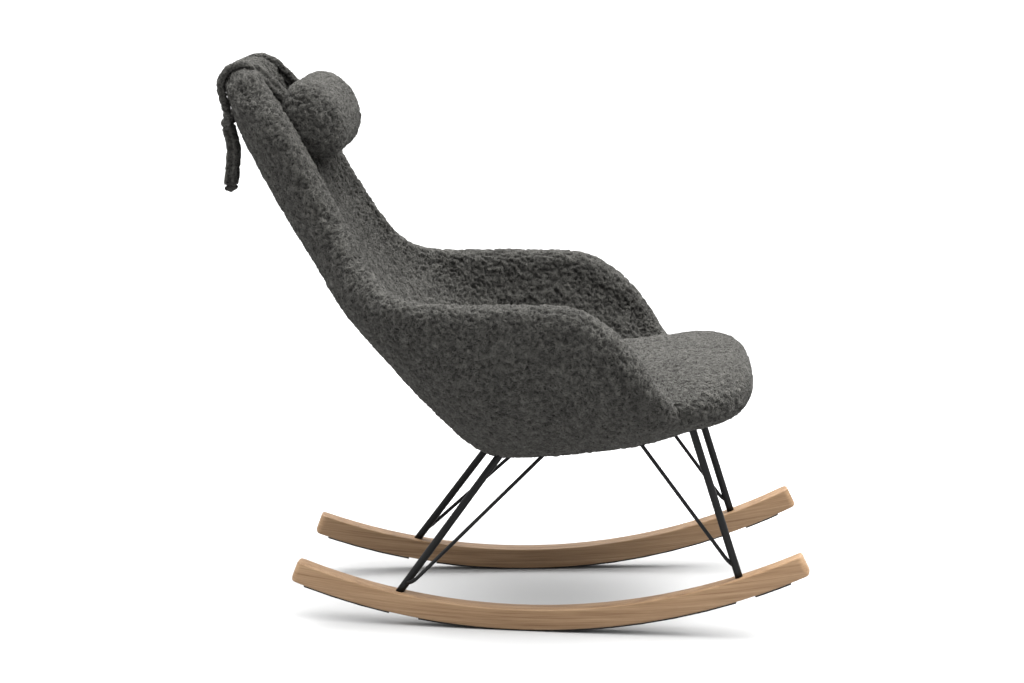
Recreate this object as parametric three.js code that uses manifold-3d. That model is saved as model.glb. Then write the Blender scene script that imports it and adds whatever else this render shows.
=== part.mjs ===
// A rocking armchair: a padded high-back shell on wire-braced steel legs, with two wooden
// rockers and a neck pillow that hangs on fabric ties over the top of the back.
// Millimetres, +Z up, +X to the sitter's left, the chair faces -Y, the floor is z = 0.
import * as THREE from 'three';
import { ParametricGeometry } from 'three/addons/geometries/ParametricGeometry.js';
import { mergeVertices } from 'three/addons/utils/BufferGeometryUtils.js';
import Module from 'manifold-3d';

const wasm = await Module();
wasm.setup();

const GAP = 0.3; // clearance between pieces that touch
const SIDES = { left: 1, right: -1 };
const rad = THREE.MathUtils.degToRad;
const { lerp, clamp } = THREE.MathUtils;
const vec = (x, y, z) => new THREE.Vector3(x, y, z);

// ---- driving dimensions ----
const ROCKER = {
  radius: 1195, height: 38, width: 36, lowY: -10, x: 203.5, toe: rad(4.86),
  rear: rad(20.2), front: rad(25.9), // how far each end lies round the arc from the lowest point
  topRound: 4, bottomRound: 7, planRound: 12, edge: 2.5,
};
const FELT = { thick: 4, width: 24, seat: 0.5, round: 0.8 }; // seat is the glue line under the wood
const FELT_FLAT = 2.54; // the chair rests on a flat this many degrees each way from the lowest point
const FELT_STRIPS = { rear: [11.4, 19.2], middle: [-19.3, 8.7], front: [-24.3, -21.1] }; // degrees of arc
const LEG = { radius: 7, bore: 5.8 };
const ROD = { radius: 3.5 };
const CORNERS = {
  rear: {
    foot: [183, 207], top: [151, 30, 305], bend: [203, 183, 82], rodTop: [140, -56, 312], plate: [146, -24],
  },
  front: {
    foot: [238, -409], top: [238, -332, 352], bend: [237, -391, 138], rodTop: [236, -238, 345],
    plate: [237, -282],
  },
};
const LEG_INSERT = 26; // depth of the threaded insert in a leg's foot
const SCREW_SINK = 5; // how far a leg screw's head sits inside the rocker
const ROD_DROP = 10; // how much lower a brace rod meets its leg than it bends
const ROD_BEND = 16; // length of the rounded bend on the rod's straight run
const NUT_LIFT = 2.4; // clearance between the hard shell and a T-nut's flange
const PLATE = { width: 44, length: 146, thick: 4, round: 8, boltY: 17, drop: 9 }; // below the hard shell
const BOLT = { radius: 4, headRadius: 7.5, head: 5, hole: 5.2, above: 4.2 };
const SCREW = { radius: 3, headRadius: 8, head: 3, taper: 1.5, hole: 3.6, reach: 12 }; // up into each leg
const NUT = { bore: 5, barrel: 6.2, flange: 10, thick: 1.2 };
const CORE_HALF = 4; // half the thickness of the hard shell inside the padding
const ORIGIN_Y = -0.75; // the part's origin lies this far in front of the point that the dimensions start from
const NUT_ROOM = 7; // room above the hard shell for the flanges of the T-nuts
const PILLOW = { y: 362, z: 916.5, half: 155, along: 74, deep: 54, lean: rad(26.5), end: 46, plump: 2.4 };
const TIE = { width: 22, thick: 8.5, x: 100 };
const TIE_ARC = { y: 493, z: 975, radius: 39, split: rad(-35) }; // where a tie bends over the back

// ---- materials ----
function paint(color, roughness, metalness = 0) {
  return new THREE.MeshStandardMaterial({ color, roughness, metalness });
}

const boucle = () => paint(0x4b4845, 0.95);
const oak = () => paint(0xb58f6c, 0.55);
const blackMetal = () => paint(0x17181a, 0.45, 0.6);
const felt = () => paint(0x2a2724, 0.95);
const zinc = () => paint(0x9a9c9e, 0.35, 1);
const plywood = () => paint(0xc8a578, 0.6);

const chair = new THREE.Group();
chair.name = 'rocking_chair';

function add(name, geometry, material, parent = chair) {
  const mesh = new THREE.Mesh(geometry, material);
  mesh.name = name;
  parent.add(mesh);
  return mesh;
}

// ---- closed solids and booleans ----
function weld(geometry) {
  const bare = geometry.clone();
  bare.deleteAttribute('normal');
  bare.deleteAttribute('uv');
  const merged = mergeVertices(bare, 1e-3);
  const index = merged.index.array;
  const kept = [];
  for (let i = 0; i < index.length; i += 3) {
    const [a, b, c] = [index[i], index[i + 1], index[i + 2]];
    if (a !== b && b !== c && a !== c) kept.push(a, b, c);
  }
  merged.setIndex(kept);
  return merged;
}

function solid(geometry) {
  const merged = weld(geometry);
  const vertProperties = new Float32Array(merged.attributes.position.array);
  const triVerts = new Uint32Array(merged.index.array);
  return new wasm.Manifold(new wasm.Mesh({ numProp: 3, vertProperties, triVerts }));
}

function toGeometry(manifold) {
  const mesh = manifold.getMesh();
  const geometry = new THREE.BufferGeometry();
  geometry.setAttribute('position', new THREE.BufferAttribute(new Float32Array(mesh.vertProperties), 3));
  geometry.setIndex(new THREE.BufferAttribute(new Uint32Array(mesh.triVerts), 1));
  return geometry;
}

// the largest piece of a cut solid, without the slivers beside it
function largest(manifold) {
  return manifold.decompose().reduce((best, piece) => (piece.volume() > best.volume() ? piece : best));
}

const cutBy = (body, tools) => tools.reduce((rest, tool) => rest.subtract(tool), body);

// a cylinder between two points, longer at each end by `extra`
function bar(from, to, radius, sides, extra = 0) {
  const axis = to.clone().sub(from);
  const geometry = new THREE.CylinderGeometry(radius, radius, axis.length() + 2 * extra, sides);
  const turn = new THREE.Quaternion().setFromUnitVectors(vec(0, 1, 0), axis.clone().normalize());
  geometry.applyQuaternion(turn);
  return geometry.translate(...from.clone().add(to).multiplyScalar(0.5).toArray());
}

function roundedRectangle(left, right, bottom, top, r) {
  const shape = new THREE.Shape();
  shape.absarc(right - r, top - r, r, 0, Math.PI / 2);
  shape.absarc(left + r, top - r, r, Math.PI / 2, Math.PI);
  shape.absarc(left + r, bottom + r, r, Math.PI, Math.PI * 1.5);
  shape.absarc(right - r, bottom + r, r, Math.PI * 1.5, Math.PI * 2);
  return shape;
}

// a shape drawn in (y, z) and given a width along X, centred on X = 0
function sidewaysExtrude(shape, width, edge = 0) {
  const geometry = new THREE.ExtrudeGeometry(shape, {
    depth: width - 2 * edge, bevelEnabled: edge > 0, bevelThickness: edge, bevelSize: edge,
    bevelOffset: -edge, bevelSegments: 1, curveSegments: 3,
  });
  geometry.translate(0, 0, -(width - 2 * edge) / 2);
  return geometry.applyMatrix4(new THREE.Matrix4().makeBasis(vec(0, 1, 0), vec(0, 0, 1), vec(1, 0, 0)));
}

// evenly spaced values from one number to another, both included
const even = (from, to, steps) => Array.from({ length: steps + 1 }, (_, k) => lerp(from, to, k / steps));

// ---- the shell's middle surface ----
// Stations run from the top of the back to the front of the seat. Each one is a cross-section
// from its centre (y, z) out to the rim (x, y, z). sweep is how far round its curve turns,
// square how boxy it is, and pad the half thickness at the centre and at the rim.
const STATIONS = [
  { centre: [507, 1020], rim: [150, 485, 987], sweep: 62, square: 2, pad: [34, 34] },
  { centre: [485, 925], rim: [184, 424, 940], sweep: 62, square: 2, pad: [34, 34] },
  { centre: [440, 830], rim: [200, 370, 850], sweep: 62, square: 2, pad: [34, 34] },
  { centre: [395, 750], rim: [211, 322, 762], sweep: 64, square: 2, pad: [34, 33] },
  { centre: [345, 672], rim: [238, 279, 690], sweep: 70, square: 2.1, pad: [33, 31] },
  { centre: [290, 584], rim: [280, 238, 643], sweep: 78, square: 2.2, pad: [32, 29] },
  { centre: [217, 499], rim: [312, 190, 623], sweep: 86, square: 2.3, pad: [30, 28] },
  { centre: [128, 397], rim: [325, 100, 620], sweep: 90, square: 2.4, pad: [28, 28] },
  { centre: [43, 320], rim: [326, -20, 620], sweep: 90, square: 2.4, pad: [25, 28] },
  { centre: [-50, 317], rim: [322, -125, 611], sweep: 90, square: 2.4, pad: [24, 28] },
  { centre: [-135, 330], rim: [335, -205, 556], sweep: 90, square: 2.4, pad: [24, 28] },
  { centre: [-215, 348], rim: [343, -250, 498], sweep: 88, square: 2.4, pad: [24, 27] },
  { centre: [-300, 373], rim: [336, -285, 448], sweep: 80, square: 2.3, pad: [24, 25] },
  { centre: [-388, 407], rim: [304, -322, 414], sweep: 62, square: 2.2, pad: [22, 22] },
];
const BACK_CROWN = 10; // extra padding down the middle of the back, behind the sitter
const BACK_STATIONS = 5; // the crown fades out by this station

const smoothLine = (points) => new THREE.CatmullRomCurve3(points, false, 'centripetal');
const centreLine = smoothLine(STATIONS.map((s) => vec(0, ...s.centre)));
const rimLine = smoothLine(STATIONS.map((s) => vec(...s.rim)));

function between(t, pick) {
  const place = t * (STATIONS.length - 1);
  const i = Math.min(Math.floor(place), STATIONS.length - 2);
  return lerp(pick(STATIONS[i]), pick(STATIONS[i + 1]), place - i);
}

// a point on the cross-section at t, where angle runs from 0 at the centre to 1 at the rim
function onSection(t, angle) {
  const centre = centreLine.getPoint(t);
  const rim = rimLine.getPoint(t);
  const sweep = rad(between(t, (s) => s.sweep));
  const power = 2 / between(t, (s) => s.square);
  const out = (a) => Math.pow(Math.sin(a), power);
  const rise = (a) => 1 - Math.pow(Math.max(Math.cos(a), 0), power);
  const sideways = out(angle * sweep) / out(sweep);
  const up = rise(angle * sweep) / rise(sweep);
  return vec(rim.x * sideways, lerp(centre.y, rim.y, up), lerp(centre.z, rim.z, up));
}

const EDGE = 30; // rounding radius that the grid is spaced for
const ROUND_STEPS = [0, 30, 60]; // degrees round that edge

// points of one half section, closer together where the rim is rounded
function sectionRow(t, stepsInside, edgeRadius) {
  const samples = Array.from({ length: 61 }, (_, k) => onSection(t, k / 60));
  const along = [0];
  for (let k = 1; k < samples.length; k++) {
    along.push(along[k - 1] + samples[k].distanceTo(samples[k - 1]));
  }
  const length = along[along.length - 1];
  const distances = fromEdge(length, edgeRadius, stepsInside).reverse();
  return distances.map((d) => {
    const want = length - d;
    let k = 1;
    while (k < samples.length - 1 && along[k] < want) k++;
    const f = (want - along[k - 1]) / (along[k] - along[k - 1]);
    return { point: samples[k - 1].clone().lerp(samples[k], f), fromRim: d, across: want / length };
  });
}

// distances from an edge that follow its rounding, and then even steps to the far side
function fromEdge(length, radius, steps) {
  const rounding = ROUND_STEPS.map((a) => radius * (1 - Math.cos(rad(a))));
  return rounding.concat(even(radius, length, steps));
}

const CORE_INSET = 3; // rows and columns by which the hard shell stops short of the rim
const ROW_STEPS = 17;
const COLUMN_STEPS = 6;

function shellRows() {
  const length = centreLine.getLength();
  const top = ROUND_STEPS.map((a) => EDGE * (1 - Math.cos(rad(a))));
  const front = top.map((d) => length - d).reverse();
  const distances = [...top, ...even(EDGE, length - EDGE, ROW_STEPS), ...front];
  return distances.map((d) => {
    const t = centreLine.getUtoTmapping(d / length);
    const half = sectionRow(t, COLUMN_STEPS, EDGE);
    const flip = (p) => ({ ...p, point: p.point.clone().setX(-p.point.x) });
    const whole = half.slice(1).reverse().map(flip).concat(half);
    return whole.map((p) => ({ ...p, t, fromEnd: Math.min(d, length - d) }));
  });
}

const rounding = (d, radius) => (d >= radius ? 1 : Math.sqrt(Math.max(0, 1 - (1 - d / radius) ** 2)));

const SHELL = shellRows();
const ROWS = SHELL.length;
const COLUMNS = SHELL[0].length;
SHELL.forEach((row, i) => {
  row.forEach((node, j) => {
    const at = (r, c) => SHELL[clamp(r, 0, ROWS - 1)][clamp(c, 0, COLUMNS - 1)].point.clone();
    const along = at(i + 1, j).sub(at(i - 1, j));
    const across = at(i, j + 1).sub(at(i, j - 1));
    node.inward = across.cross(along).normalize().negate();
    const pad = between(node.t, (s) => lerp(s.pad[0], s.pad[1], node.across ** 2));
    node.edge = rounding(node.fromEnd, pad) * rounding(node.fromRim, pad);
    const fade = Math.max(0, 1 - (node.t * (STATIONS.length - 1)) / BACK_STATIONS);
    node.outer = pad * node.edge;
    node.inner = (pad + BACK_CROWN * Math.sqrt(fade) * (1 - node.across ** 2)) * node.edge;
    const steps = Math.min(i, ROWS - 1 - i, j, COLUMNS - 1 - j); // from the nearest edge
    node.hard = steps >= CORE_INSET;
  });
});

// a closed solid between two offsets of the middle surface, over the rows and columns from `inset`
function layer(upper, lower, inset = 0) {
  const positions = [];
  const place = (node, offset) => node.point.clone().addScaledVector(node.inward, offset(node));
  const rows = ROWS - 2 * inset;
  const columns = COLUMNS - 2 * inset;
  const last = columns - 1;
  for (const offset of [upper, lower]) {
    for (const row of SHELL.slice(inset, ROWS - inset)) {
      for (const node of row.slice(inset, inset + columns)) positions.push(...place(node, offset).toArray());
    }
  }
  const at = (side, i, j) => side * rows * columns + i * columns + j;
  const index = [];
  const quad = (a, b, c, d) => index.push(a, b, c, a, c, d);
  for (let i = 0; i < rows - 1; i++) {
    for (let j = 0; j < columns - 1; j++) {
      quad(at(0, i, j), at(0, i + 1, j), at(0, i + 1, j + 1), at(0, i, j + 1));
      quad(at(1, i, j), at(1, i, j + 1), at(1, i + 1, j + 1), at(1, i + 1, j));
    }
    quad(at(0, i, 0), at(1, i, 0), at(1, i + 1, 0), at(0, i + 1, 0));
    quad(at(0, i + 1, last), at(1, i + 1, last), at(1, i, last), at(0, i, last));
  }
  for (let j = 0; j < columns - 1; j++) {
    quad(at(0, 0, j + 1), at(1, 0, j + 1), at(1, 0, j), at(0, 0, j));
    quad(at(0, rows - 1, j), at(1, rows - 1, j), at(1, rows - 1, j + 1), at(0, rows - 1, j + 1));
  }
  const geometry = new THREE.BufferGeometry();
  geometry.setAttribute('position', new THREE.Float32BufferAttribute(positions, 3));
  geometry.setIndex(index);
  return weld(geometry);
}

// ---- the shell: hard core, padding on both sides, seat cushion ----
const PLY = GAP / 2; // each padding stays this far from the middle surface, where the two meet
const coreLayer = layer(() => CORE_HALF, () => -CORE_HALF, CORE_INSET);
const overSeat = (node) => node.point.z < 480 && node.hard;
const innerLayer = layer(
  (node) => PLY + node.inner,
  (node) => (node.hard ? CORE_HALF + (overSeat(node) ? NUT_ROOM : GAP) : PLY),
);
const outerLayer = layer(
  (node) => (node.hard ? -CORE_HALF - GAP : -PLY),
  (node) => -PLY - node.outer,
);
const grown = (node) => PLY + GAP + node.edge * GAP;
const shellSpace = layer((node) => grown(node) + node.inner, (node) => -grown(node) - node.outer);

// first and second surface that a straight line meets
function crossings(geometry, from, direction) {
  const target = new THREE.Mesh(geometry, new THREE.MeshBasicMaterial({ side: THREE.DoubleSide }));
  return new THREE.Raycaster(from, direction).intersectObject(target).map((hit) => hit.point);
}

// the seat is a thick rounded pad that slopes down towards the back
const SEAT = { y: -105, halfLength: 330, halfWidth: 304, plan: 3, side: 3, crown: 14 };
const seatMiddle = (y) => 395 - 0.108 * y; // height of the pad's middle at y
const seatHalf = (y) => 58 - 0.022 * y; // half its thickness
const signedPower = (value, exponent) => Math.sign(value) * Math.abs(value) ** exponent;

function seatPoint(u, v, target) {
  const turn = u * Math.PI * 2;
  const tilt = (v - 0.5) * Math.PI;
  const reach = Math.max(Math.cos(tilt), 0) ** (2 / SEAT.side);
  const x = SEAT.halfWidth * reach * signedPower(Math.cos(turn), 2 / SEAT.plan);
  const y = SEAT.y + SEAT.halfLength * reach * signedPower(Math.sin(turn), 2 / SEAT.plan);
  const fall = Math.max(Math.sin(tilt), 0) * SEAT.crown * (x / SEAT.halfWidth) ** 2;
  target.set(x, y, seatMiddle(y) + seatHalf(y) * signedPower(Math.sin(tilt), 2 / SEAT.side) - fall);
}

function seatCushion() {
  const pad = solid(new ParametricGeometry(seatPoint, 28, 12));
  const shell = solid(shellSpace);
  const pastFront = shell.translate([0, -2 * GAP, 0]); // clear of the shell's front edge too
  return toGeometry(largest(pad.subtract(shell).subtract(pastFront)));
}

// ---- rockers and their felt strips ----
// A rocker is drawn in its own upright plane, with its lowest point at y = 0.
const ARC_CENTRE = (ROCKER.radius + FELT.thick) * Math.cos(rad(FELT_FLAT)); // height above the floor

function arcPoint(radius, angle) {
  return new THREE.Vector2(radius * Math.sin(angle), ARC_CENTRE - radius * Math.cos(angle));
}

// a curved bar between an outer arc and an inner arc with rounded corners; each arc has its own
// list of angles, from front to rear
function arcBand(outer, outerAngles, outerRound, inner, innerAngles, innerRound) {
  const [from, to] = [outerAngles[0], outerAngles[outerAngles.length - 1]];
  const [outerSpan, innerSpan] = [outerRound / outer, innerRound / inner];
  const shape = new THREE.Shape();
  const line = (radius, angles) => angles.forEach((a) => shape.lineTo(...arcPoint(radius, a).toArray()));
  const turn = (corner, next) => shape.quadraticCurveTo(...corner.toArray(), ...next.toArray());
  shape.moveTo(...arcPoint(outer, from).toArray());
  line(outer, outerAngles.slice(1));
  turn(arcPoint(outer, to + outerSpan), arcPoint(outer - outerRound, to + outerSpan));
  line(inner + innerRound, [to + outerSpan]);
  turn(arcPoint(inner, to + outerSpan), arcPoint(inner, to + outerSpan - innerSpan));
  line(inner, innerAngles.slice().reverse());
  line(inner, [from - outerSpan + innerSpan]);
  turn(arcPoint(inner, from - outerSpan), arcPoint(inner + innerRound, from - outerSpan));
  line(outer - outerRound, [from - outerSpan]);
  turn(arcPoint(outer, from - outerSpan), arcPoint(outer, from));
  return shape;
}

const ROCKER_STEPS = 24;
const ROCKER_TOP = ROCKER.radius - ROCKER.height; // radius of the upper face

function rockerBlank() {
  const { radius, width, edge, bottomRound, topRound, planRound: r } = ROCKER;
  const angles = even(-ROCKER.front, ROCKER.rear, ROCKER_STEPS);
  const side = arcBand(radius, angles, bottomRound, ROCKER_TOP, angles.slice(1, -1), topRound);
  const front = arcPoint(radius, -ROCKER.front - bottomRound / radius).x;
  const rear = arcPoint(radius, ROCKER.rear + bottomRound / radius).x;
  const plan = roundedRectangle(-width / 2, width / 2, front, rear, r);
  const tall = new THREE.ExtrudeGeometry(plan, { depth: 400, bevelEnabled: false, curveSegments: 3 });
  return solid(sidewaysExtrude(side, width, edge)).intersect(solid(tall.translate(0, 0, -100)));
}

// the long strip lies flat at the rocker's lowest point, where the chair rests
function feltStrip([from, to]) {
  const round = (FELT_FLAT < to && -FELT_FLAT > from)
    ? [...even(from, -FELT_FLAT, 6), ...even(FELT_FLAT, to, 3)]
    : even(from, to, 3);
  const outer = ROCKER.radius + FELT.thick;
  const inner = ROCKER.radius + FELT.seat;
  const outerAngles = round.map(rad);
  const innerAngles = even(rad(from), rad(to), Math.round((to - from) / 1.5)).slice(1, -1);
  const band = arcBand(outer, outerAngles, FELT.round, inner, innerAngles, FELT.round);
  return sidewaysExtrude(band, FELT.width);
}

function rockerFrame(side) {
  const frame = new THREE.Group();
  frame.position.set(side * (ROCKER.x - ROCKER.lowY * Math.tan(ROCKER.toe)), ROCKER.lowY, 0);
  frame.rotation.z = side * ROCKER.toe;
  frame.updateMatrixWorld();
  return frame;
}

// where a leg stands on the rocker's upper face, and that face's direction there
function footing(side, y) {
  const along = (y - ROCKER.lowY) / Math.cos(ROCKER.toe);
  const angle = Math.asin(along / ROCKER_TOP);
  const frame = rockerFrame(side);
  const point = vec(0, ...arcPoint(ROCKER_TOP, angle).toArray()).applyMatrix4(frame.matrixWorld);
  const up = vec(0, -Math.sin(angle), Math.cos(angle)).applyQuaternion(frame.quaternion);
  return { point, up }; // up is square to the wood
}

// a block that fills the side of a plane that `direction` points to
function beyond(point, direction) {
  const size = 300;
  const block = new THREE.BoxGeometry(size, size, size).translate(0, 0, size / 2);
  block.applyQuaternion(new THREE.Quaternion().setFromUnitVectors(vec(0, 0, 1), direction));
  return solid(block.translate(...point.toArray()));
}

// ---- the four corners of the base ----
// Each corner is a plate under the seat with a leg and a brace rod welded to it.
function plateFrame(side, corner) {
  const [x, y] = corner.plate;
  const under = (dx, dy) => crossings(coreLayer, vec(side * (x + dx), y + dy, 0), vec(0, 0, 1))[0];
  const [dx, dy] = [PLATE.width * 0.4, PLATE.boltY * 1.5];
  const [a, b, c, d] = [under(dx, dy), under(-dx, dy), under(-dx, -dy), under(dx, -dy)];
  const up = a.clone().sub(c).cross(b.clone().sub(d)).normalize();
  if (up.z < 0) up.negate();
  const frame = new THREE.Group();
  const forward = vec(0, 1, 0).addScaledVector(up, -up.y).normalize();
  frame.matrix.makeBasis(forward.clone().cross(up), forward, up);
  frame.quaternion.setFromRotationMatrix(frame.matrix);
  frame.position.copy(a).add(b).add(c).add(d).multiplyScalar(0.25).addScaledVector(up, -PLATE.drop);
  frame.updateMatrixWorld();
  return frame;
}

function plateShape(grow = 0) {
  const [w, l] = [PLATE.width / 2 + grow, PLATE.length / 2 + grow];
  return roundedRectangle(-w, w, -l, l, PLATE.round);
}

const straightUp = (depth) => ({ depth, bevelEnabled: false, curveSegments: 3 });

function mountPlate() {
  const shape = plateShape();
  for (const y of [-PLATE.boltY, PLATE.boltY]) {
    const hole = new THREE.Path();
    hole.absarc(0, y, BOLT.hole, 0, Math.PI * 2, true);
    shape.holes.push(hole);
  }
  return new THREE.ExtrudeGeometry(shape, straightUp(PLATE.thick)).translate(0, 0, -PLATE.thick);
}

// a turned piece from its outline as [radius, height], from the lower end upwards
function turned(outline, sides) {
  return new THREE.LatheGeometry(outline.map((p) => new THREE.Vector2(...p)), sides);
}

function screwOutline(length) {
  const { radius, headRadius, head, taper } = SCREW;
  const cone = [[headRadius, head], [radius, head + taper]];
  return [[0, 0], [headRadius, 0], ...cone, [radius, length], [0, length]];
}

function boltOutline(length) {
  const { radius, headRadius, head } = BOLT;
  return [[0, -head], [headRadius, -head], [headRadius, 0], [radius, 0], [radius, length], [0, length]];
}

// a T-nut's barrel reaches down through the hard shell from its flange
function nutOutline(depth) {
  const { bore, barrel, flange, thick } = NUT;
  const outside = [[barrel, -depth], [barrel, 0], [flange, 0], [flange, thick]];
  return [[bore, -depth], ...outside, [bore, thick], [bore, -depth]];
}

// A tube with a threaded insert in its foot stands on the rocker, and a screw comes up into it
// from below. Returns the leg's line.
function buildLeg(label, side, corner, plateBottom, rockerCuts) {
  const ground = footing(side, corner.foot[1]);
  const top = vec(side * corner.top[0], corner.top[1], corner.top[2]);
  const axis = top.clone().sub(ground.point).normalize();
  const length = top.distanceTo(ground.point);
  const along = (distance) => ground.point.clone().addScaledVector(axis, distance);
  const wood = beyond(ground.point.clone().addScaledVector(ground.up, GAP), ground.up.clone().negate());
  const tube = solid(bar(along(-20), along(length + 30), LEG.radius, 12));
  const bore = solid(bar(along(-25), along(length - 15), LEG.bore, 8));
  add(`leg_${label}`, toGeometry(cutBy(tube, [bore, wood, plateBottom])), blackMetal());

  const insert = solid(bar(along(-10), along(LEG_INSERT), LEG.bore - 0.8, 8));
  const thread = solid(bar(along(-20), along(LEG_INSERT + 10), SCREW.hole, 8));
  add(`leg_insert_${label}`, toGeometry(cutBy(insert, [thread, wood])), zinc());

  const through = ROCKER.height / ground.up.dot(axis); // the way through the wood along the leg
  const screwLength = through - SCREW_SINK + SCREW.reach;
  const screw = add(`leg_screw_${label}`, turned(screwOutline(screwLength), 8), zinc());
  screw.position.copy(along(SCREW_SINK - through));
  screw.quaternion.setFromUnitVectors(vec(0, 1, 0), axis);
  const headTop = along(SCREW_SINK + SCREW.head + SCREW.taper + GAP - through);
  rockerCuts.push(solid(bar(along(-through - 10), along(10), SCREW.hole, 8)));
  rockerCuts.push(solid(bar(along(-through - 15), headTop, SCREW.headRadius + 0.8, 10)));
  return { along, length, reach: (point) => point.clone().sub(ground.point).dot(axis) };
}

// A thin rod leaves the leg near its foot, bends, and runs straight up to the plate.
function buildBraceRod(label, side, corner, leg, plateBottom) {
  const bend = vec(side * corner.bend[0], corner.bend[1], corner.bend[2]);
  const top = vec(side * corner.rodTop[0], corner.rodTop[1], corner.rodTop[2]);
  const rise = top.clone().sub(bend).normalize();
  const past = (point, distance) => point.clone().addScaledVector(rise, distance);
  const start = leg.along(leg.reach(bend) - ROD_DROP);
  const extrudePath = new THREE.QuadraticBezierCurve3(start, bend, past(bend, ROD_BEND));
  const round = new THREE.Shape().absarc(0, 0, ROD.radius, 0, Math.PI * 2);
  const elbow = new THREE.ExtrudeGeometry(round, { extrudePath, steps: 6, curveSegments: 4 });
  const straight = bar(past(bend, ROD_BEND - 0.5), past(top, 40), ROD.radius, 8);
  const legSpace = solid(bar(leg.along(-30), leg.along(leg.length + 60), LEG.radius + GAP, 12));
  const rod = cutBy(solid(elbow).add(solid(straight)), [legSpace, plateBottom]);
  add(`brace_rod_${label}`, toGeometry(largest(rod)), blackMetal());
}

// everything at one corner, in world coordinates; the cuts that it makes in its neighbours
// are collected in `cuts`
function buildCorner(end, sideName, cuts) {
  const corner = CORNERS[end];
  const side = SIDES[sideName];
  const label = `${end}_${sideName}`;
  const frame = plateFrame(side, corner);
  chair.add(frame);
  add(`mount_plate_${label}`, mountPlate(), blackMetal(), frame);
  const up = vec(0, 0, 1).applyQuaternion(frame.quaternion);
  const toWorld = (x, y, z) => vec(x, y, z).applyMatrix4(frame.matrixWorld);
  const plateBottom = beyond(toWorld(0, 0, -PLATE.thick - GAP), up);
  const pocket = new THREE.ExtrudeGeometry(plateShape(GAP), straightUp(40)).translate(0, 0, GAP - 40);
  cuts.outer.push(solid(pocket.applyMatrix4(frame.matrixWorld)));

  const leg = buildLeg(label, side, corner, plateBottom, cuts.rocker[sideName]);
  buildBraceRod(label, side, corner, leg, plateBottom);

  for (const [place, y] of [['front', -PLATE.boltY], ['rear', PLATE.boltY]]) {
    const from = toWorld(0, y, 0);
    const [coreBottom, coreTop] = crossings(coreLayer, from, up).map((hit) => hit.distanceTo(from));
    const boltLength = PLATE.thick + GAP + coreTop + BOLT.above;
    const bolt = add(`plate_bolt_${place}_${label}`, turned(boltOutline(boltLength), 6), zinc(), frame);
    bolt.position.set(0, y, -PLATE.thick - GAP);
    bolt.rotation.x = Math.PI / 2;
    const nutShape = turned(nutOutline(coreTop - coreBottom), 8);
    const nut = add(`tee_nut_${place}_${label}`, nutShape, zinc(), frame);
    nut.position.set(0, y, coreTop + NUT_LIFT);
    nut.rotation.x = Math.PI / 2;
    const [below, above] = [toWorld(0, y, coreBottom - 12), toWorld(0, y, coreTop + 12)];
    cuts.core.push(solid(bar(below, above, NUT.barrel + 0.8, 8)));
    cuts.outer.push(solid(bar(toWorld(0, y, -5), toWorld(0, y, coreBottom + 5), BOLT.hole, 8)));
  }
}

// ---- neck pillow and its ties ----
const pillowAlong = vec(0, Math.sin(PILLOW.lean), Math.cos(PILLOW.lean)); // up the back
const pillowOut = pillowAlong.clone().cross(vec(1, 0, 0));
const pillowBasis = new THREE.Matrix4().makeBasis(pillowAlong, vec(1, 0, 0), pillowOut);

function pillowForm(grow = 0) {
  const { half, end, plump } = PILLOW;
  const radius = (f) => (1 - f ** plump) ** (1 / plump);
  const tip = [1, 0.97, 0.86, 0.62, 0.3, 0].map((f) => new THREE.Vector2(radius(f), half - end + f * end));
  const outline = [...tip.map((p) => new THREE.Vector2(p.x, -p.y)), ...tip.reverse()];
  const form = new THREE.LatheGeometry(outline, 22);
  form.scale(PILLOW.along + grow, 1 + grow / half, PILLOW.deep + grow);
  return form.applyMatrix4(pillowBasis).translate(0, PILLOW.y, PILLOW.z);
}

// a flat band with softly rounded edges, or the same band standing on its edge
function tieSection(onEdge) {
  const [w, t] = [TIE.width / 2, TIE.thick / 2];
  const quarter = [[w, t / 2], [0.8 * w, t]];
  const upper = [...quarter, ...quarter.map(([x, y]) => [-x, y]).reverse()];
  const lower = upper.map(([x, y]) => [-x, -y]);
  const corner = ([x, y]) => (onEdge ? new THREE.Vector2(-y, x) : new THREE.Vector2(x, y));
  return new THREE.Shape([...upper, ...lower].map(corner));
}

function tieRun(points, steps, onEdge = false) {
  const extrudePath = smoothLine(points.map((p) => vec(...p)));
  return solid(new THREE.ExtrudeGeometry(tieSection(onEdge), { extrudePath, steps, curveSegments: 1 }));
}

// a point on the arc that a tie follows over the top of the back
function overTop(x, angle) {
  const { y, z, radius } = TIE_ARC;
  return [x, y + radius * Math.sin(angle), z + radius * Math.cos(angle)];
}

function blob(centre, radii) {
  return solid(new THREE.SphereGeometry(1, 10, 8).scale(...radii).translate(...centre));
}

const KNOT = { centre: [0, 538, 899], radii: [17, 12, 14] };
const TAIL_END = [5.2, 12, 8]; // radii of the small knot that finishes each tail
const TAILS = { left: { x: -5, y: 535 }, right: { x: 5, y: 535 } }; // they hang side by side, on edge

// how a tail hangs, as [sideways, back, height] from its knot
const TAIL_LINE = [[0, 0, 889], [0, -2, 880], [2, -7, 860], [4.8, -7, 835], [5.6, -5, 810], [5.6, -2, 785]];
const TAIL_END_Z = 779;

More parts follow.
